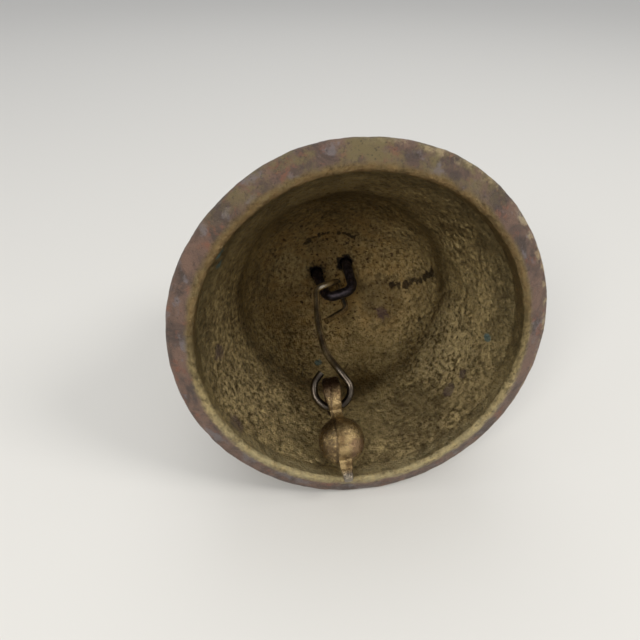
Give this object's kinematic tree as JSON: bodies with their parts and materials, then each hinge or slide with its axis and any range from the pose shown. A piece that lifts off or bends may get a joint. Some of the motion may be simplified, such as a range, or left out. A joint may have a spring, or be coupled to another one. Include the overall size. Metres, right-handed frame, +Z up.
{
  "type": "hand bell",
  "caption": "Cast bronze Tibetan hand bell lying on its side, with a pronged handle and a cast clapper hung inside on a bent wire hook.",
  "frame": {"origin": "on the surface the bell lies on, under the middle of its bounding box", "axes": "+Z up, +Y from the mouth back to the handle, +X to the right when looking into the mouth; the mouth looks up by 13.5 degrees"},
  "size_m": [0.0794, 0.1588, 0.0773],
  "materials": {
    "bell_bronze": "rough cast inside, worn brown patina outside",
    "handle_brass": "worn brown patina, bright on the high spots",
    "clapper_brass": "as cast, handled smooth",
    "iron_staple": "black oxide",
    "iron_rod": "black oxide",
    "steel_wire": "tarnished, satin",
    "lac_fill": "dull resin"
  },
  "bodies": {
    "bell": {"bell_body": "bell_bronze", "staple": "iron_staple", "socket_fill": "lac_fill", "tie_rod": "iron_rod", "handle_socket": "handle_brass", "handle_grip": "handle_brass", "handle_finial": "handle_brass"},
    "hook": {"clapper_hook": "steel_wire"},
    "clapper": {"clapper": "clapper_brass"}
  },
  "joints": [
    {"name": "hook_swing", "type": "hinge", "parent": "bell", "child": "hook", "pos_m": [0.00167, -0.02765, 0.0239], "axis": [-0.9583, -0.0667, -0.2778], "range_deg": [0, 60]},
    {"name": "clapper_swing", "type": "hinge", "parent": "hook", "child": "clapper", "pos_m": [-0.00446, -0.06149, 0.01428], "axis": [-0.9914, -0.0152, -0.1301], "range_deg": [0, 30]}
  ]
}
